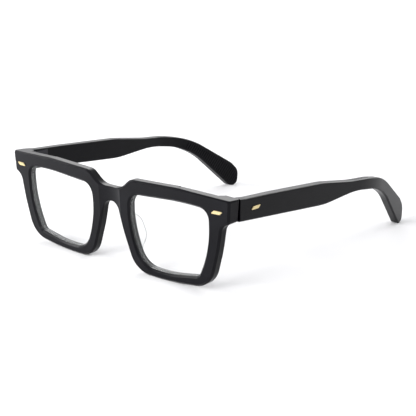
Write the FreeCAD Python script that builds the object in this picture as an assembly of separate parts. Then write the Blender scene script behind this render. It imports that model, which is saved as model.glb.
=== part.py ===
import FreeCAD, Part
import math
import os

# Eyeglasses frame in thick acetate with folding temples.
# +X is the wearer's left, +Y runs back along the temples, +Z is up.
# The front is drawn in its own plane: x across, y back, z down from the brow line.

# lens openings and front, in mm
lens_width = 46.4
lens_height = 34.5
lens_gap = 24.4
brow_height = 6.9
brow_rise = 0.6
rim_bottom = 4.1
end_width = 12.4
end_height = 12.0
end_drop = 1.5
front_thickness = 4.5
wrap_radius = 1080.0
lean_angle = 2.6
front_chamfer = 0.9
back_chamfer = 0.6

# bridge
bridge_drop = 7.5
bridge_height = 6.9
scoop_width = 14.0
scoop_depth = 1.2

# end blocks that carry the hinges
block_depth = 9.35
block_width = 8.0
block_fall = 0.85
block_round = 1.2
toe_gap = 1.8

# lenses and their groove
lens_thickness = 2.2
lens_curve = 400.0
lens_bevel = 0.6
bevel_half = 0.5
lens_clearance = 0.05

# nose pads
pad_height = 23.0
pad_reach = 4.6
pad_thickness = 2.6
pad_splay = 24.0
pad_drop = 15.6
pad_lift = 0.8

# hinges, five knuckles each
seam_gap = 0.15
knuckle_radius = 1.7
knuckle_height = 1.3
knuckle_gap = 0.05
pin_inset = 1.5
pin_radius = 0.7
pin_clearance = 0.05
hinge_drop = 6.9
pocket_clearance = 0.2
leaf_thickness = 1.0
leaf_length = 9.0
tongue_length = 3.6
screw_head_radius = 1.2
screw_head_height = 0.55

# temples
temple_length = 143.3
temple_thickness = 4.5
temple_height = 10.2
temple_top = -1.9
temple_neck = 5.3
ear_length = 55.8
bend_length = 22.0
bend_angle = 15.0
temple_round = 0.8
core_thickness = 1.2
core_width = 1.8
core_clearance = 0.1

# rivet plaques
plaque_length = 4.7
plaque_height = 1.45
plaque_slant = 1.7
plaque_proud = 0.35
plaque_seat = 0.3
rivet_radius = 0.45
rivet_length = 1.4
temple_rivet_length = 0.9

# places that follow from the sizes above
lens_x = (lens_gap + lens_width) / 2
lens_top = -brow_height
lens_low = lens_top - lens_height
side_x = lens_gap / 2 + lens_width + end_width
front_low = lens_low - rim_bottom
inner_x = side_x - temple_thickness
pin_x = inner_x - pin_inset
seam_y = block_depth + seam_gap
bend_start = seam_y + temple_length - ear_length
pin_y = seam_y + 0.35
hinge_height = 5 * knuckle_height + 4 * knuckle_gap
hinge_low = -hinge_drop - hinge_height / 2
pocket_radius = knuckle_radius + pocket_clearance


def vec(x, y, z):
    return FreeCAD.Vector(x, y, z)


def corner_sizes(points):
    """Radius and reach of each corner, eased where two arcs would meet on a short run."""
    count = len(points)
    halves = []
    for i in range(count):
        u, v, radius = points[i]
        a = vec(points[i - 1][0] - u, points[i - 1][1] - v, 0)
        b = vec(points[(i + 1) % count][0] - u, points[(i + 1) % count][1] - v, 0)
        a.normalize()
        b.normalize()
        halves.append(math.acos(max(-1.0, min(1.0, a.dot(b)))) / 2)
    reaches = [points[i][2] / math.tan(halves[i]) for i in range(count)]
    ease = 0.9
    eases = [1.0] * count
    for i in range(count):
        j = (i + 1) % count
        run = math.hypot(points[j][0] - points[i][0], points[j][1] - points[i][1])
        both = reaches[i] + reaches[j]
        if both > ease * run:
            eases[i] = min(eases[i], ease * run / both)
            eases[j] = min(eases[j], ease * run / both)
    return [(points[i][2] * eases[i], reaches[i] * eases[i], halves[i]) for i in range(count)]


def rounded(points, place):
    """Closed wire of straight runs and tangent arcs through (u, v, radius) corners."""
    count = len(points)
    sizes = corner_sizes(points)
    ends = []
    for i in range(count):
        radius, reach, half = sizes[i]
        corner = vec(points[i][0], points[i][1], 0)
        if radius == 0:
            ends.append((corner, corner, None))
            continue
        a = vec(points[i - 1][0], points[i - 1][1], 0).sub(corner)
        b = vec(points[(i + 1) % count][0], points[(i + 1) % count][1], 0).sub(corner)
        a.normalize()
        b.normalize()
        start = corner.add(vec(a.x, a.y, 0).multiply(reach))
        finish = corner.add(vec(b.x, b.y, 0).multiply(reach))
        middle = a.add(b)
        middle.normalize()
        top = corner.add(middle.multiply(radius / math.sin(half) - radius))
        ends.append((start, finish, top))
    pieces = []
    for i in range(count):
        start, finish, top = ends[i]
        if top is not None:
            arc = Part.Arc(place(start.x, start.y), place(top.x, top.y), place(finish.x, finish.y))
            pieces.append(arc.toShape())
        following = ends[(i + 1) % count][0]
        if finish.distanceToPoint(following) > 1e-6:
            line = Part.LineSegment(place(finish.x, finish.y), place(following.x, following.y))
            pieces.append(line.toShape())
    return Part.Wire(pieces)


def in_front(y):
    """Places outline points in a plane parallel to the front, y behind it."""
    return lambda u, v: vec(u, y, v)


def prism(wire, direction):
    return Part.Face(wire).extrude(direction)


def mirrored(shape):
    return shape.mirror(vec(0, 0, 0), vec(1, 0, 0))


def leaned(shape):
    """Tips the front so that the bottoms of the rims go back."""
    copy = shape.copy()
    copy.rotate(vec(0, 0, 0), vec(1, 0, 0), lean_angle)
    return copy


def wrap_y(x):
    return wrap_radius - math.sqrt(wrap_radius ** 2 - x ** 2)


def half_outline():
    """Corners of the right half of the front's outline, from the bridge's top round to its underside."""
    nose_x = lens_gap / 2
    far_x = nose_x + lens_width
    bridge_low = -bridge_drop - bridge_height
    return [
        (nose_x - 5.9, -bridge_drop, 11.0),
        (nose_x + 1.3, -1.7, 6.0),
        (lens_x + lens_width / 4, -brow_rise, 250.0),
        (side_x, -end_drop, 1.4),
        (side_x - 0.7, -end_height, 1.3),
        (far_x + 7.7, -end_height - 1.6, 4.5),
        (far_x + 5.5, lens_top - lens_height * 0.54, 80.0),
        (far_x + 0.3, lens_low - 1.7, 12.5),
        (lens_x - lens_width / 20, front_low, 150.0),
        (nose_x + 2.2, front_low + 0.6, 12.5),
        (nose_x - 4.8, lens_top - lens_height * 0.574, 80.0),
        (nose_x - 8.2, bridge_low, 4.5),
    ]


def outline_wire(y):
    right = half_outline()
    left = [(-u, v, r) for u, v, r in reversed(right)]
    return rounded(right + left, in_front(y))


def opening_points(grow):
    """Corners of one lens opening, grown evenly by the given amount."""
    half_w = lens_width / 2 + grow
    half_h = lens_height / 2 + grow
    middle = lens_top - lens_height / 2
    shape = [
        (-0.974, 0.901, 7.0),
        (0.371, 1.009, 200.0),
        (1.013, 0.954, 7.5),
        (1.009, 0.241, 45.0),
        (0.905, -0.409, 60.0),
        (0.737, -0.861, 3.5),
        (0.004, -1.023, 70.0),
        (-0.720, -0.988, 12.0),
        (-0.927, -0.252, 60.0),
        (-1.004, 0.299, 40.0),
    ]
    return [(lens_x + u * half_w, middle + v * half_h, r + grow) for u, v, r in shape]


def opening_prism(grow, start, finish):
    wire = rounded(opening_points(grow), in_front(start))
    return prism(wire, vec(0, finish - start, 0))


def lens_plane_y():
    """How far back the middle of the lens sits in the front's thickness."""
    return wrap_y(lens_x) + front_thickness / 2


def lens_frame(shape):
    """Turns a lens piece drawn straight ahead so that it follows the wrap of the front."""
    copy = shape.copy()
    slope = math.degrees(math.asin(lens_x / wrap_radius))
    copy.translate(vec(0, lens_plane_y(), 0))
    copy.rotate(vec(lens_x, lens_plane_y(), 0), vec(0, 0, 1), slope)
    return copy


def bevel_ring(grow):
    """The pointed edge round a lens: two slopes that meet at the middle of its thickness."""
    deep = 1.2 * bevel_half
    base = grow - 1.2 * lens_bevel
    sections = [
        rounded(opening_points(base), in_front(-deep)),
        rounded(opening_points(grow), in_front(0)),
        rounded(opening_points(base), in_front(deep)),
    ]
    return Part.makeLoft(sections, True, True).cut(opening_prism(-2, -2, 2))


def make_lens():
    """Clear demonstration lens, gently curved, with a pointed edge that sits in the rim's groove."""
    edge_sag = ((lens_width / 2) ** 2 + (lens_height / 2) ** 2) / (4 * lens_curve) + 0.2
    centre = vec(lens_x, lens_curve - edge_sag, lens_top - lens_height / 2)
    outer = Part.makeSphere(lens_curve + lens_thickness / 2, centre)
    inner = Part.makeSphere(lens_curve - lens_thickness / 2, centre)
    body = opening_prism(-lens_clearance, -8, 8).common(outer).cut(inner)
    ring = bevel_ring(lens_bevel - lens_clearance)
    return leaned(lens_frame(body.fuse(ring).removeSplitter()))


def on_front_surface(edge):
    for vertex in edge.discretize(5):
        if abs(math.hypot(vertex.x, vertex.y - wrap_radius) - wrap_radius) > 1e-3:
            return False
    return True


def on_back_surface(edge):
    for vertex in edge.discretize(5):
        away = math.hypot(vertex.x, vertex.y - wrap_radius) - wrap_radius + front_thickness
        if abs(away) > 1e-3:
            return False
    return True


def wrap_slab():
    """Curved sheet that gives the front its thickness and wrap."""
    reach = side_x + 5
    back_radius = wrap_radius - front_thickness
    drop = wrap_radius - math.sqrt(wrap_radius ** 2 - reach ** 2)
    back_drop = wrap_radius - math.sqrt(back_radius ** 2 - reach ** 2)
    low = front_low - 5
    front = Part.Arc(vec(-reach, drop, low), vec(0, 0, low), vec(reach, drop, low))
    back = Part.Arc(vec(reach, back_drop, low), vec(0, front_thickness, low), vec(-reach, back_drop, low))
    right = Part.LineSegment(vec(reach, drop, low), vec(reach, back_drop, low))
    left = Part.LineSegment(vec(-reach, back_drop, low), vec(-reach, drop, low))
    wire = Part.Wire([front.toShape(), right.toShape(), back.toShape(), left.toShape()])
    return prism(wire, vec(0, 0, 10 - low))


def end_block():
    """Thick block behind the outer end of the front, where the hinge sits."""
    far = block_depth + 2
    inner = side_x - block_width
    toe = side_x - end_width + toe_gap
    low = -end_height - 0.9
    start = wrap_y(side_x) + front_thickness / 2
    plan = [
        (side_x + 1, start, 0),
        (side_x + 1, far, 0),
        (inner, far, 0),
        (inner, block_depth - 0.4, 1.5),
        (toe, start, 0),
    ]
    flat = rounded(plan, lambda u, v: vec(u, v, low))
    block = prism(flat, vec(0, 0, 2 - low))
    return block.common(prism(outline_wire(-1), vec(0, far + 2, 0)))


def top_wedge():
    """What is shaved off the top of the end block so that it falls towards the temple."""
    fall = block_fall / block_depth
    across = fall * front_thickness / (end_width + 1)
    x0 = side_x - 30
    x1 = side_x + 5
    y1 = block_depth + 6

    def height(x, y):
        return -end_drop - across * (x - side_x) - fall * y

    corners = [(x0, -3), (x1, -3), (x1, y1), (x0, y1)]
    low = [vec(x, y, height(x, y)) for x, y in corners]
    high = [vec(x, y, 12) for x, y in corners]
    faces = [Part.Face(Part.makePolygon(low + low[:1])), Part.Face(Part.makePolygon(high + high[:1]))]
    for i in range(4):
        j = (i + 1) % 4
        faces.append(Part.Face(Part.makePolygon([low[i], low[j], high[j], high[i], low[i]])))
    return Part.makeSolid(Part.makeShell(faces))


def scoop():
    """Hollow across the front of the bridge."""
    radius = ((scoop_width / 2) ** 2 + scoop_depth ** 2) / (2 * scoop_depth)
    centre = vec(0, scoop_depth - radius, front_low - 1)
    return Part.makeCylinder(radius, -front_low + 5, centre)


def tongue(clear):
    """Anchor of the front leaf, which is let into the end block."""
    half = leaf_thickness / 2 + clear
    low = hinge_low - clear
    high = hinge_low + hinge_height + clear
    start = pin_y - knuckle_radius - tongue_length - clear
    return Part.makeBox(2 * half, pin_y - start, high - low, vec(pin_x - half, start, low))


def front_body():
    """The acetate front in its own plane, before it is leaned."""
    plate = wrap_slab().common(prism(outline_wire(-2), vec(0, front_thickness + 12, 0)))
    opening = opening_prism(0, -5, front_thickness + 10)
    plate = plate.cut(opening).cut(mirrored(opening))
    plate = plate.makeChamfer(front_chamfer, [edge for edge in plate.Edges if on_front_surface(edge)])
    plate = plate.makeChamfer(back_chamfer, [edge for edge in plate.Edges if on_back_surface(edge)])
    block = end_block()
    wedge = top_wedge()
    plate = plate.fuse(block).fuse(mirrored(block))
    return plate.cut(wedge).cut(mirrored(wedge)).cut(scoop()).removeSplitter()


def make_front():
    plate = front_body()
    ring = lens_frame(bevel_ring(lens_bevel))
    plate = plate.cut(ring).cut(mirrored(ring))
    plate = leaned(plate)
    far = Part.makeBox(2 * side_x + 20, 20, 40, vec(-side_x - 10, block_depth, -30))
    plate = plate.cut(far)
    plate = plate.makeFillet(block_round, [edge for edge in plate.Edges if under_block(edge)])
    pocket = hinge_pocket()
    slot = tongue(0.02)
    plaque = plaque_solid(0.02)
    for tool in (pocket, slot, plaque):
        plate = plate.cut(tool).cut(mirrored(tool))
    return plate


def under_block(edge):
    """True for the lower rear edges of the end blocks."""
    box = edge.BoundBox
    if box.YMin < block_depth - 0.01 or box.ZMax > -end_height + 1.5:
        return False
    return box.XMax - box.XMin > 0.3


def hinge_pocket():
    """Room round the knuckles, cut in the end block and the temple alike."""
    low = hinge_low - pocket_clearance
    tall = hinge_height + screw_head_height + 2 * pocket_clearance
    return Part.makeCylinder(pocket_radius, tall, vec(pin_x, pin_y, low))


def knuckle(index):
    low = hinge_low + index * (knuckle_height + knuckle_gap)
    return Part.makeCylinder(knuckle_radius, knuckle_height, vec(pin_x, pin_y, low))


def knuckle_level(index):
    """Slice of space at the height of one knuckle, with half the gap above and below."""
    low = hinge_low + index * (knuckle_height + knuckle_gap)
    return Part.makeBox(40, 40, knuckle_height, vec(pin_x - 20, pin_y - 20, low))


def pin_bore():
    radius = pin_radius + pin_clearance
    return Part.makeCylinder(radius, hinge_height + 4, vec(pin_x, pin_y, hinge_low - 2))


def make_front_leaf():
    """Three knuckles on an anchor that is let into the end block."""
    room = Part.makeCylinder(pocket_radius, hinge_height + 4, vec(pin_x, pin_y, hinge_low - 2))
    plate = tongue(0)
    leaf = plate.cut(room)
    for index in (0, 2, 4):
        leaf = leaf.fuse(plate.common(knuckle_level(index)))
        leaf = leaf.fuse(knuckle(index))
    return leaf.removeSplitter().cut(pin_bore())


def leaf_plate(clear):
    """Flat plate of the temple leaf, flush with the inner face of the temple."""
    start = pin_y
    long = knuckle_radius + leaf_length + clear
    low = hinge_low - clear
    tall = hinge_height + 2 * clear
    plate = Part.makeBox(leaf_thickness + clear, long, tall, vec(inner_x, start, low))
    stem_low = core_z(0) - core_width / 2 - clear
    stem = Part.makeBox(
        core_x() + core_thickness / 2 + clear - inner_x, 2.5 + 2 * clear, core_width + 2 * clear,
        vec(inner_x, start + knuckle_radius + leaf_length - 2.5 - clear, stem_low))
    return plate, stem


def make_temple_leaf():
    """Two knuckles on a plate let into the temple, with a stem that meets the core wire."""
    room = Part.makeCylinder(pocket_radius, hinge_height + 4, vec(pin_x, pin_y, hinge_low - 2))
    plate, stem = leaf_plate(0)
    leaf = plate.cut(room).fuse(stem)
    for index in (1, 3):
        web = Part.makeBox(inner_x + leaf_thickness - pin_x, knuckle_radius + 0.6, knuckle_height,
                           vec(pin_x, pin_y, hinge_low + index * (knuckle_height + knuckle_gap)))
        slant = Part.makeCylinder(knuckle_radius + 0.9, knuckle_height,
                                  vec(pin_x, pin_y, hinge_low + index * (knuckle_height + knuckle_gap)))
        leaf = leaf.fuse(web.common(slant))
        leaf = leaf.fuse(knuckle(index))
    return leaf.removeSplitter().cut(pin_bore())


def make_screw():
    """Hinge screw with a slotted head that rests on the top knuckle."""
    shaft = Part.makeCylinder(pin_radius, hinge_height, vec(pin_x, pin_y, hinge_low))
    top = hinge_low + hinge_height
    head = Part.makeCylinder(screw_head_radius, screw_head_height, vec(pin_x, pin_y, top))
    slot = Part.makeBox(4, 0.35, 0.25, vec(pin_x - 2, pin_y - 0.175, top + screw_head_height - 0.25))
    return shaft.fuse(head).cut(slot).removeSplitter()


def temple_end():
    return seam_y + temple_length


def side_points(low):
    """Side view of the temple as (y, z, radius) corners; its tip rests at the given height."""
    start = seam_y
    shoulder = bend_start - 29
    end = temple_end()
    top = temple_top
    under = top - temple_height
    neck = -10.0
    return [
        (start, top, 0.0),
        (start + 5, top - 0.65, 20.0),
        (start + 21, top - 1.5, 150.0),
        (shoulder, top - 4.1, 60.0),
        (bend_start - 7, neck + 0.6, 60.0),
        (bend_start + 8, neck - 0.7, 60.0),
        (bend_start + 25, neck - 4.3, 50.0),
        (end - 4.2, low + 13.6, 7.0),
        (end + 0.5, low + 8.6, 6.5),
        (end - 0.4, low, 4.5),
        (end - 5.4, low, 5.0),
        (bend_start + 28, neck - temple_neck - 8.4, 40.0),
        (bend_start + 15, neck - temple_neck - 2.3, 40.0),
        (bend_start - 3, neck - temple_neck + 0.5, 60.0),
        (shoulder + 1, under - 4.6, 60.0),
        (start + 1, under, 10.0),
        (start, under + 0.1, 0.0),
    ]


def strip_points(offset):
    """Side of the bent temple seen from above, at a distance inside the outer face."""
    angle = math.radians(bend_angle)
    radius = bend_length / angle
    reach = radius * math.tan(angle / 2)
    corner = (side_x - offset, bend_start + reach)
    far = temple_end() + 20 - corner[1]
    return [(side_x - offset, seam_y), corner, (corner[0] - far * math.tan(angle), corner[1] + far)]


def plan_strip(inner, outer, start):
    """Bent strip between two distances inside the temple's outer face, tall enough for any profile."""
    angle = math.radians(bend_angle)
    radius = bend_length / angle
    low = 4 * front_low
    sides = []
    for offset in (outer, inner):
        points = strip_points(0)
        shift = offset * math.tan(angle / 2)
        near = (side_x - offset, start)
        corner = (side_x - offset, points[1][1] - shift)
        away = (points[2][0] - offset * math.cos(angle), points[2][1] - offset * math.sin(angle))
        sides.append((near, corner, away, radius - offset))
    a, b = sides
    plan = [
        (a[0][0], a[0][1], 0), (a[1][0], a[1][1], a[3]), (a[2][0], a[2][1], 0),
        (b[2][0], b[2][1], 0), (b[1][0], b[1][1], b[3]), (b[0][0], b[0][1], 0),
    ]
    wire = rounded(plan, lambda u, v: vec(u, v, low))
    return prism(wire, vec(0, 0, -2 * low))


def core_x():
    return side_x - temple_thickness / 2


def core_z(index):
    return core_path()[index][1]


def core_path():
    """Middle line of the core wire in side view."""
    end = temple_end()
    return [
        (seam_y + 11, -7.0, 0),
        (bend_start - 29, -10.9, 80.0),
        (bend_start + 7, -13.1, 40.0),
        (bend_start + 24, -18.0, 40.0),
        (end - 12.8, -32.0, 0),
    ]


def core_solid(clear, start):
    """Flat wire along the middle of the temple, or its channel when a clearance is given."""
    half = core_width / 2 + clear
    path = core_path()
    over = []
    under = []
    for i in range(len(path)):
        y, z, radius = path[i]
        before = path[max(i - 1, 0)]
        after = path[min(i + 1, len(path) - 1)]
        first = vec(y - before[0], z - before[1], 0) if i > 0 else vec(after[0] - y, after[1] - z, 0)
        second = vec(after[0] - y, after[1] - z, 0) if i < len(path) - 1 else first
        first.normalize()
        second.normalize()
        normal = vec(-first.y - second.y, first.x + second.x, 0)
        normal.normalize()
        reach = half / normal.dot(vec(-first.y, first.x, 0))
        turn = first.x * second.y - first.y * second.x
        grow = half if turn < 0 else -half
        over.append((y + normal.x * reach, z + normal.y * reach, radius + grow if radius else 0))
        under.append((y - normal.x * reach, z - normal.y * reach, radius - grow if radius else 0))
    for side in (over, under):
        slope = (side[1][1] - side[0][1]) / (side[1][0] - side[0][0])
        side[0] = (start, side[0][1] + slope * (start - side[0][0]), 0)
    if clear:
        last = over[-1]
        over[-1] = (last[0] + clear, last[1] - clear, 0)
        last = under[-1]
        under[-1] = (last[0] + clear, last[1] - clear, 0)
    wire = rounded(over + under[::-1], lambda u, v: vec(0, u, v))
    side = prism(wire, vec(2 * side_x, 0, 0))
    middle = temple_thickness / 2
    wide = core_thickness / 2 + clear
    return side.common(plan_strip(middle + wide, middle - wide, start - 1))


def make_core():
    """Metal core wire inside the temple."""
    return core_solid(0, pin_y + knuckle_radius + leaf_length)


def make_temple(low):
    """Acetate temple: straight shank, inward curve behind the ear and a wide rounded tip."""
    wire = rounded(side_points(low), lambda u, v: vec(inner_x - 60, u, v))
    side = prism(wire, vec(120, 0, 0))
    temple = side.common(plan_strip(temple_thickness, 0, seam_y - 1)).removeSplitter()
    edges = []
    for edge in temple.Edges:
        box = edge.BoundBox
        if box.YMax < seam_y + 0.01:
            continue
        if box.XMax - box.XMin > temple_thickness * 0.8 and box.YMax - box.YMin < 2:
            continue
        if box.YMax - box.YMin > 0.5 or box.ZMax - box.ZMin > 0.5:
            edges.append(edge)
    temple = temple.makeFillet(temple_round, edges)
    plate, stem = leaf_plate(0.02)
    temple = temple.cut(hinge_pocket()).cut(plate).cut(stem)
    temple = temple.cut(core_solid(core_clearance, pin_y + knuckle_radius + leaf_length - 2.5))
    return temple.cut(temple_plaque_solid(0.02))


def plaque_outline(clear):
    half = plaque_length / 2 + clear
    tall = plaque_height / 2 + clear
    return [
        (-half + plaque_slant / 2, tall, 0.25),
        (half + plaque_slant / 2, tall, 0.25),
        (half - plaque_slant / 2, -tall, 0.25),
        (-half - plaque_slant / 2, -tall, 0.25),
    ]


def plaque_solid(clear):
    """Slanted rivet plaque on the front face, with two pins in the acetate."""
    middle_x = side_x - 6.7
    middle_z = -7.6
    face_y = wrap_y(middle_x)
    wire = rounded(plaque_outline(clear), in_front(-plaque_proud))
    plate = prism(wire, vec(0, plaque_proud + plaque_seat + clear, 0))
    for way in (-1, 1):
        spot = vec(way * plaque_length * 0.28, plaque_seat, 0)
        pin = Part.makeCylinder(rivet_radius + clear, rivet_length + clear, spot, vec(0, 1, 0))
        plate = plate.fuse(pin)
    plate.translate(vec(middle_x, face_y, middle_z))
    slope = math.degrees(math.asin(middle_x / wrap_radius))
    plate.rotate(vec(middle_x, face_y, middle_z), vec(0, 0, 1), slope)
    return leaned(plate.removeSplitter())


def temple_plaque_solid(clear):
    """The same plaque on the outer face of the temple."""
    middle_y = seam_y + 9.8
    middle_z = -7.3
    wire = rounded(plaque_outline(clear), lambda u, v: vec(side_x + plaque_proud, u, v))
    plate = prism(wire, vec(-plaque_proud - plaque_seat - clear, 0, 0))
    for way in (-1, 1):
        spot = vec(side_x - plaque_seat, way * plaque_length * 0.28, 0)
        pin = Part.makeCylinder(rivet_radius + clear, temple_rivet_length + clear, spot,
                                vec(-1, 0, 0))
        plate = plate.fuse(pin)
    plate.translate(vec(0, middle_y, middle_z))
    return plate.removeSplitter()


def make_pad(front):
    """Clear D-shaped nose pad on the back of the rim's nose side, seated against the front."""
    tall = pad_height
    deep = pad_reach + front_thickness
    profile = [
        (0, 0.0, 2.0),
        (deep - 1.5, -tall * 0.28, 6.5),
        (deep, -tall * 0.62, 6.5),
        (deep - 4.5, -tall, 4.0),
        (0, -tall * 0.98, 0.5),
    ]
    wire = rounded(profile, lambda u, v: vec(0, u, v))
    pad = prism(wire, vec(pad_thickness, 0, 0))
    edges = [edge for edge in pad.Edges if edge.BoundBox.XMax - edge.BoundBox.XMin < 0.01]
    pad = pad.makeFillet(0.7, edges)
    pad.rotate(vec(0, 0, 0), vec(0, 1, 0), -16)
    pad.rotate(vec(0, 0, 0), vec(0, 0, 1), -pad_splay)
    pad.translate(vec(lens_gap / 2 - 5.0, 1.5, -pad_drop))
    pad = pad.cut(opening_prism(0, -5, front_thickness + pad_lift))
    pad = leaned(pad).cut(front)
    behind = [solid for solid in pad.Solids if solid.CenterOfMass.y > front_thickness]
    return behind[0]


def main():
    os.makedirs("parts", exist_ok=True)
    front = make_front()
    low = front.optimalBoundingBox(False).ZMin
    right = {
        "temple": make_temple(low),
        "lens": make_lens(),
        "nose_pad": make_pad(front),
        "front_plaque": plaque_solid(0),
        "temple_plaque": temple_plaque_solid(0),
        "hinge_front_leaf": make_front_leaf(),
        "hinge_temple_leaf": make_temple_leaf(),
        "hinge_screw": make_screw(),
        "core_wire": make_core(),
    }
    nodes = {"front": front}
    for name, shape in right.items():
        nodes[name + "_left"] = shape
        nodes[name + "_right"] = mirrored(shape)
    box = FreeCAD.BoundBox()
    for shape in nodes.values():
        box.add(shape.optimalBoundingBox(False))
    shift = vec(-box.Center.x, -box.Center.y, -box.ZMin)
    for name, shape in nodes.items():
        shape.translate(shift)
        shape.exportStep("parts/" + name + ".step")
        print(name, len(shape.Solids), round(shape.Volume, 2), shape.isValid())
    print("shift", shift, "size", box.XLength, box.YLength, box.ZLength)


main()
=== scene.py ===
import math

import bmesh
import bpy
from mathutils import Matrix, Vector
from mathutils.bvhtree import BVHTree


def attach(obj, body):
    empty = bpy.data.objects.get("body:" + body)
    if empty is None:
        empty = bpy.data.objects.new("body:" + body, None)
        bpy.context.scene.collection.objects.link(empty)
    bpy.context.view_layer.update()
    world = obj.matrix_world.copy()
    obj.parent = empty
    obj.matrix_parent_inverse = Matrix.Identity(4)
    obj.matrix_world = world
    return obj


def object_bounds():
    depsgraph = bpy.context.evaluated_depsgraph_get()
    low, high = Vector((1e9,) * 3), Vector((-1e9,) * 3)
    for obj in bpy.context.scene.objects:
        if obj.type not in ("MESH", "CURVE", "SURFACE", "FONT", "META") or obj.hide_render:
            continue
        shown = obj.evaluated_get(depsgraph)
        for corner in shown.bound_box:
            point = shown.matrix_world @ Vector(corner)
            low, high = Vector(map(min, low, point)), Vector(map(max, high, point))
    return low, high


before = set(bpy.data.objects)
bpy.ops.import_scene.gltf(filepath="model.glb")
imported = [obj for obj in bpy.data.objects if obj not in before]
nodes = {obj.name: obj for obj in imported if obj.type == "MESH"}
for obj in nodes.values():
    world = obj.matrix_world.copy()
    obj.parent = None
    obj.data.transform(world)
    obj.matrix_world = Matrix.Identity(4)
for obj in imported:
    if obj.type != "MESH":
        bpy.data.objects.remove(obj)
cad_low, cad_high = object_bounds()
scene = bpy.context.scene

# Table, light and camera. A matt pale table stands in a dim white room. Two softboxes behind the
# frame draw the pale line along every top edge, two in front open up the dark acetate, and one
# hangs over the far end of the table to keep it white.


def linear(hex_colour):
    """An sRGB hex colour as the linear RGBA that shaders take."""
    channels = [int(hex_colour[i:i + 2], 16) / 255 for i in (1, 3, 5)]
    return [c / 12.92 if c <= 0.04045 else ((c + 0.055) / 1.055) ** 2.4 for c in channels] + [1.0]


def add(tree, kind, inputs=None, **settings):
    """Adds a node with its settings; an input is given a value, or a socket to link it to."""
    made = tree.nodes.new(kind)
    for name, value in settings.items():
        setattr(made, name, value)
    for name, value in (inputs or {}).items():
        if isinstance(value, bpy.types.NodeSocket):
            tree.links.new(value, made.inputs[name])
        else:
            made.inputs[name].default_value = value
    return made


def surface(name):
    """A new material with only its output node, and that node."""
    material = bpy.data.materials.new(name)
    material.use_nodes = True
    material.node_tree.nodes.clear()
    return material, add(material.node_tree, "ShaderNodeOutputMaterial")


def finish_with(output, shader):
    """Links a shader to its material's output."""
    output.id_data.links.new(shader.outputs["BSDF"], output.inputs["Surface"])


# painted board, matt and pale, which the strong front lights bring to white
pale_board, board_output = surface("matt_pale_board")
finish_with(board_output, add(pale_board.node_tree, "ShaderNodeBsdfDiffuse", {"Color": linear("#d8d8d9")}))

table = bmesh.new()
bmesh.ops.create_grid(table, x_segments=1, y_segments=1, size=3.0)
table_mesh = bpy.data.meshes.new("table_top")
table.to_mesh(table_mesh)
table_mesh.materials.append(pale_board)
table_top = bpy.data.objects.new("table_top", table_mesh)
scene.collection.objects.link(table_top)

world = bpy.data.worlds.new("white_room")
scene.world = world
world.use_nodes = True
room = world.node_tree.nodes["Background"]
room.inputs["Color"].default_value = linear("#fdfdff")
room.inputs["Strength"].default_value = 0.63
scene.view_settings.view_transform = "Standard"

# each softbox: place and target from the middle of the frame, width and height, power in watts
middle = (cad_low + cad_high) / 2
at_frame = (0.0, 0.0, 0.0)
softboxes = [
    ("back_softbox", (0.0, 0.85, 0.45), at_frame, (0.7, 0.4), 5.8),
    ("back_left_softbox", (-0.62, 0.62, 0.38), at_frame, (0.5, 0.4), 1.1),
    ("front_softbox", (-0.10, -0.95, 0.25), at_frame, (0.6, 0.5), 17.0),
    ("front_left_softbox", (-0.75, -0.55, 0.30), at_frame, (0.5, 0.5), 9.5),
    ("far_table_softbox", (-1.3, 1.4, 1.2), (-1.3, 1.4, 0.0), (1.2, 1.2), 24.0),
]
for name, place, target, size, watts in softboxes:
    lamp = bpy.data.lights.new(name, "AREA")
    lamp.shape = "RECTANGLE"
    lamp.size, lamp.size_y = size
    lamp.energy = watts
    softbox = bpy.data.objects.new(name, lamp)
    softbox.location = middle + Vector(place)
    softbox.rotation_mode = "QUATERNION"
    softbox.rotation_quaternion = (Vector(target) - Vector(place)).to_track_quat("-Z", "Y")
    scene.collection.objects.link(softbox)

# The camera stands half a metre off, to the wearer's left of the front and a little above it. Its
# place is measured from the middle of the brow line, where the front's face meets its top.
turn = math.radians(42.42)
rise = math.radians(15.87)
camera_distance = 0.51757
camera_aside = 0.04524
camera_drop = 0.01665
brow_ahead = 0.0002183
brow_above = 0.0005979
back = Vector((math.sin(turn) * math.cos(rise), -math.cos(turn) * math.cos(rise), math.sin(rise)))
right = Vector((math.cos(turn), math.sin(turn), 0))
up = back.cross(right)
brow_centre = Vector((0, cad_low.y - brow_ahead, cad_high.z + brow_above))
camera_data = bpy.data.cameras.new("camera")
camera_data.lens = 99.29
camera_data.sensor_width = 36.0
camera = bpy.data.objects.new("camera", camera_data)
camera.location = brow_centre + right * camera_aside - up * camera_drop + back * camera_distance
camera.rotation_mode = "QUATERNION"
camera.rotation_quaternion = (-back).to_track_quat("-Z", "Y")
scene.collection.objects.link(camera)
scene.camera = camera

# Front: one piece of thick black cellulose acetate, rims, bridge and end blocks together. It is
# routed from a sheet, curved slightly while warm, and tumbled until its surface is satin.


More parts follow.
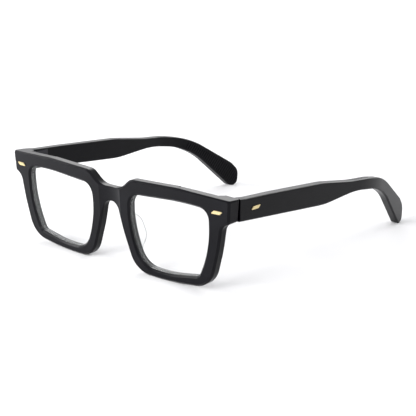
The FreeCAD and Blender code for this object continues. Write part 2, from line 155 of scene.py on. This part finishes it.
def acetate(name, colour, streak_colour):
    """Tumbled cellulose acetate.

    It looks near black with a soft sheen and no sharp mirror. The colour clouds a little from the
    pigment's rolling, and the tumbling leaves the finest orange peel.
    """
    cloud_size = 0.008
    peel_size = 0.0004
    peel_depth = 0.00005
    material, output = surface(name)
    tree = material.node_tree
    place = add(tree, "ShaderNodeTexCoord").outputs["Object"]
    cloud = add(tree, "ShaderNodeTexNoise", {"Vector": place, "Scale": 1 / cloud_size, "Detail": 3.0})
    tone = add(tree, "ShaderNodeValToRGB", {"Fac": cloud.outputs["Fac"]})
    low, high = tone.color_ramp.elements
    low.position = 0.35
    low.color = linear(colour)
    high.position = 0.75
    high.color = linear(streak_colour)
    grain = add(tree, "ShaderNodeTexNoise", {"Vector": place, "Scale": 1 / peel_size, "Detail": 2.0})
    rough = add(tree, "ShaderNodeMapRange", {"Value": grain.outputs["Fac"], "To Min": 0.25, "To Max": 0.35})
    peel = add(tree, "ShaderNodeBump", {
        "Height": grain.outputs["Fac"], "Strength": 0.12, "Distance": peel_depth})
    finish_with(output, add(tree, "ShaderNodeBsdfPrincipled", {
        "Base Color": tone.outputs["Color"],
        "Roughness": rough.outputs["Result"],
        "IOR": 1.48,
        "Specular IOR Level": 0.15,
        "Normal": peel.outputs["Normal"],
    }))
    return material


def dress(names, material):
    """Gives CAD nodes their finish."""
    for name in names:
        for used in nodes[name].material_slots:
            used.material = material


front_acetate = acetate("tumbled_black_acetate", "#020205", "#06060a")
dress(["front"], front_acetate)

# Temples: the same acetate in a thinner sheet, milled to shape round a core wire. Each is bent by
# hand, down and in behind the ear, and hangs on its hinge at the front's end block.
dress(["temple_left", "temple_right"], front_acetate)

# Grip ribs: fine bars across the inner side of each temple tip, which keep it from sliding behind
# the ear. They are of the temple's own acetate, left standing by a milling cutter. They run across
# the tip and stop short of its rounded edges.
rib_pitch = 0.0015
rib_width = 0.0009
rib_proud = 0.00035
rib_rounding = 0.7 * rib_proud
rib_margin = 0.0014
probe_height = 0.02
tip_fall = math.radians(37)
tip_turn = math.radians(15)
tip_start = Vector((0.0665, brow_centre.y + 0.1195, brow_centre.z - 0.0190))
for way, side in ((1, "left"), (-1, "right")):
    temple_shell = bmesh.new()
    temple_shell.from_mesh(nodes["temple_" + side].data)
    bmesh.ops.remove_doubles(temple_shell, verts=temple_shell.verts, dist=1e-6)
    shell_tree = BVHTree.FromBMesh(temple_shell)
    inward = Vector((-way * math.cos(tip_turn), -math.sin(tip_turn), 0))
    along = Vector((-way * math.sin(tip_turn) * math.cos(tip_fall), math.cos(tip_turn) * math.cos(tip_fall),
                    -math.sin(tip_fall)))
    across = inward.cross(along)
    axes = Matrix((across, along, inward)).transposed().to_4x4()
    spot = Vector((way * tip_start.x, tip_start.y, tip_start.z))
    ribs = bmesh.new()
    while True:
        # the temple's width here, from its cut through this spot
        cut = temple_shell.copy()
        bmesh.ops.bisect_plane(cut, geom=cut.verts[:] + cut.edges[:] + cut.faces[:], plane_co=spot,
                               plane_no=along, clear_inner=True, clear_outer=True)
        reaches = [(v.co - spot).dot(across) for v in cut.verts]
        cut.free()
        if not reaches:
            break
        length = max(reaches) - min(reaches) - 2 * rib_margin
        centre = spot + across * (max(reaches) + min(reaches)) / 2
        seat = shell_tree.ray_cast(centre + inward * probe_height, -inward)[0]
        if length < rib_margin or seat is None:
            break
        # half of each bar's height is sunk in the temple
        sizes = Matrix.Diagonal((length, rib_width, 2 * rib_proud, 1))
        bmesh.ops.create_cube(ribs, size=1.0, matrix=Matrix.Translation(seat) @ axes @ sizes)
        spot = spot + along * rib_pitch
    bmesh.ops.bevel(ribs, geom=ribs.edges[:], offset=rib_rounding, segments=2, profile=0.5,
                    affect="EDGES", material=-1)
    bmesh.ops.recalc_face_normals(ribs, faces=ribs.faces)
    rib_mesh = bpy.data.meshes.new("tip_ribs_" + side)
    ribs.to_mesh(rib_mesh)
    ribs.free()
    temple_shell.free()
    rib_mesh.materials.append(front_acetate)
    rib_piece = bpy.data.objects.new("tip_ribs_" + side, rib_mesh)
    scene.collection.objects.link(rib_piece)
    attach(rib_piece, "temple_" + side)

# Lenses: clear demonstration lenses of moulded plastic, snapped into the groove of each rim. Their
# faces are polished and almost vanish; where they are seen at a slant they are drawn more opaque, which
# shows more of their gloss and also their pale colour, a painted reflection. The pointed edge that sits in
# the groove is ground, and shows as a pale line.
clear_lens, lens_output = surface("clear_moulded_lens")
lens_tree = clear_lens.node_tree
facing = add(lens_tree, "ShaderNodeTexCoord").outputs["Normal"]
facing_parts = add(lens_tree, "ShaderNodeSeparateXYZ", {"Vector": facing})
# 1 on a face, about 0.8 on the slopes of the pointed edge, 0 on the wall round the lens
ahead = add(lens_tree, "ShaderNodeMath", {0: facing_parts.outputs["Y"]}, operation="ABSOLUTE")
off_face = add(lens_tree, "ShaderNodeMath", {0: ahead.outputs["Value"], 1: 0.93}, operation="LESS_THAN")
off_wall = add(lens_tree, "ShaderNodeMath", {0: ahead.outputs["Value"], 1: 0.45}, operation="GREATER_THAN")
ground = add(lens_tree, "ShaderNodeMath", {0: off_face.outputs["Value"], 1: off_wall.outputs["Value"]},
             operation="MULTIPLY")
glance = add(lens_tree, "ShaderNodeLayerWeight", {"Blend": 0.5})
# more opaque at a slant: the pale colour shows there as a painted reflection, along with the faces' own
# gloss
painted_slant_reflection = add(lens_tree, "ShaderNodeMapRange", {
    "Value": glance.outputs["Facing"], "From Min": 0.45, "To Min": 0.02, "To Max": 0.25})
clear_wall = add(lens_tree, "ShaderNodeMapRange", {
    "Value": off_face.outputs["Value"], "To Min": painted_slant_reflection.outputs["Result"], "To Max": 0.01})
see = add(lens_tree, "ShaderNodeMapRange", {
    "Value": ground.outputs["Value"], "To Min": clear_wall.outputs["Result"], "To Max": 0.10})
dull = add(lens_tree, "ShaderNodeMapRange", {
    "Value": ground.outputs["Value"], "To Min": 0.03, "To Max": 0.55})
finish_with(lens_output, add(lens_tree, "ShaderNodeBsdfPrincipled", {
    "Base Color": linear("#eef1f1"), "Roughness": dull.outputs["Result"], "IOR": 1.5,
    "Alpha": see.outputs["Result"]}))
dress(["lens_left", "lens_right"], clear_lens)

# Nose pads: clear acetate, cut and polished, glued to the back of each rim beside the nose. Face on they
# are almost invisible;
# toward their rounded edges a dark grey is drawn more opaque, a painted outline standing in for the light
# those edges bend.
clear_acetate, pad_output = surface("polished_clear_acetate")
pad_tree = clear_acetate.node_tree
pad_glance = add(pad_tree, "ShaderNodeLayerWeight", {"Blend": 0.5})
# grey drawn more opaque where the pad is seen at a slant: a painted outline of shade along its edges
pad_painted_outline = add(pad_tree, "ShaderNodeMapRange", {
    "Value": pad_glance.outputs["Facing"], "From Min": 0.38, "To Min": 0.05, "To Max": 1.0})
finish_with(pad_output, add(pad_tree, "ShaderNodeBsdfPrincipled", {
    "Base Color": linear("#34373a"), "Roughness": 0.15, "IOR": 1.48, "Alpha": pad_painted_outline.outputs["Result"]}))
dress(["nose_pad_left", "nose_pad_right"], clear_acetate)


# Plaques: four small slanted plates of brass, polished and plated in pale gold, which gleam warm
# against the black. There are two on the front and one on each temple, each held by two pins.


def metal(name, colour, roughness, line_width):
    """Polished metal, with fine lines of polishing that soften and stretch its reflections."""
    line_depth = 0.00002
    material, output = surface(name)
    tree = material.node_tree
    place = add(tree, "ShaderNodeTexCoord").outputs["Object"]
    drawn = add(tree, "ShaderNodeMapping", {"Vector": place, "Scale": (1.0, 1.0, 12.0)})
    lines = add(tree, "ShaderNodeTexNoise", {"Vector": drawn.outputs["Vector"], "Scale": 1 / line_width})
    rough = add(tree, "ShaderNodeMapRange", {
        "Value": lines.outputs["Fac"], "To Min": roughness * 0.7, "To Max": roughness * 1.3})
    worn = add(tree, "ShaderNodeBump", {
        "Height": lines.outputs["Fac"], "Strength": 0.1, "Distance": line_depth})
    finish_with(output, add(tree, "ShaderNodeBsdfPrincipled", {
        "Base Color": linear(colour), "Metallic": 1.0,
        "Roughness": rough.outputs["Result"], "Normal": worn.outputs["Normal"]}))
    return material


# the lines are drawn coarser than real polishing, which is too fine to show
gold_plate = metal("pale_gold_plate", "#d9c797", 0.30, 0.0015)
dress(["front_plaque_left", "front_plaque_right", "temple_plaque_left", "temple_plaque_right"], gold_plate)

# Hinges: five nickel silver barrels on a vertical screw, three on the front's leaf and two on the
# temple's. The leaves are plated gunmetal, let into the acetate and pressed home warm; dark plating
# keeps them from showing at the seam.
hinge_plate = metal("gunmetal_plate", "#3a3a3d", 0.35, 0.0015)
dress([leaf + side for leaf in ("hinge_front_leaf_", "hinge_temple_leaf_", "hinge_screw_")
       for side in ("left", "right")], hinge_plate)

# Core wires: flat nickel silver wire, drawn bright and shot into the middle of each heated temple.
# It stiffens the temple and holds the bend behind the ear. The black acetate hides it.
core_metal = metal("drawn_core_wire", "#b9b9b7", 0.35, 0.002)
dress(["core_wire_left", "core_wire_right"], core_metal)
